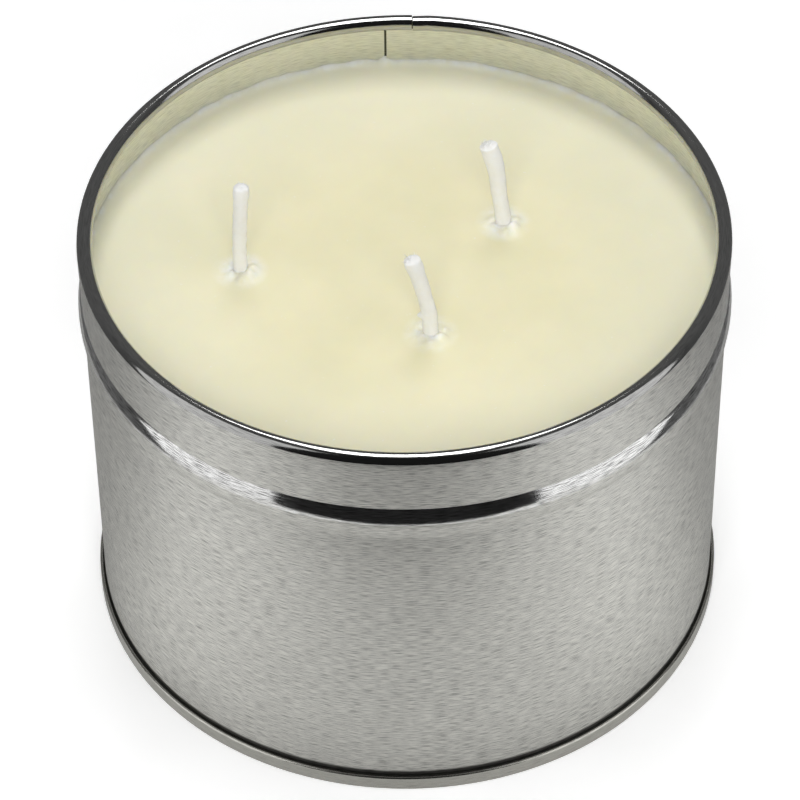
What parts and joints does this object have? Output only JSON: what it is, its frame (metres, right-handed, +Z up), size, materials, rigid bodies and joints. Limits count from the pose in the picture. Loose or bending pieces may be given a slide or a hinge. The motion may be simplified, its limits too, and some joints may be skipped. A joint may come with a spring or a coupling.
{
  "type": "candle tin",
  "caption": "Round seamed tinplate candle tin with a curled rim and a lid bead, filled with wax round cotton wicks.",
  "frame": {"origin": "centre of the ring that the tin stands on, at floor level", "axes": "+Z up along the tin's axis, -Y the front, +Y through the lapped side seam, +X to the right seen from the front"},
  "size_m": [0.1092, 0.1092, 0.0885],
  "materials": {
    "tinplate": "satin tinplate with a fine grain round the tin",
    "sealant": "dry dull sealing compound",
    "wax": "cream wax, satin, slightly translucent",
    "cotton": "braided cotton, coated with wax",
    "sustainer": "pressed tinplate",
    "sticker": "white foam pad with adhesive on both faces"
  },
  "bodies": {
    "root": {"tin_body": "tinplate", "base_end": "tinplate", "base_seam_sealant": "sealant", "wax_fill": "wax", "left_wick": "cotton", "front_wick": "cotton", "right_wick": "cotton", "left_wick_sustainer": "sustainer", "front_wick_sustainer": "sustainer", "right_wick_sustainer": "sustainer", "left_wick_sticker": "sticker", "front_wick_sticker": "sticker", "right_wick_sticker": "sticker"}
  },
  "joints": []
}
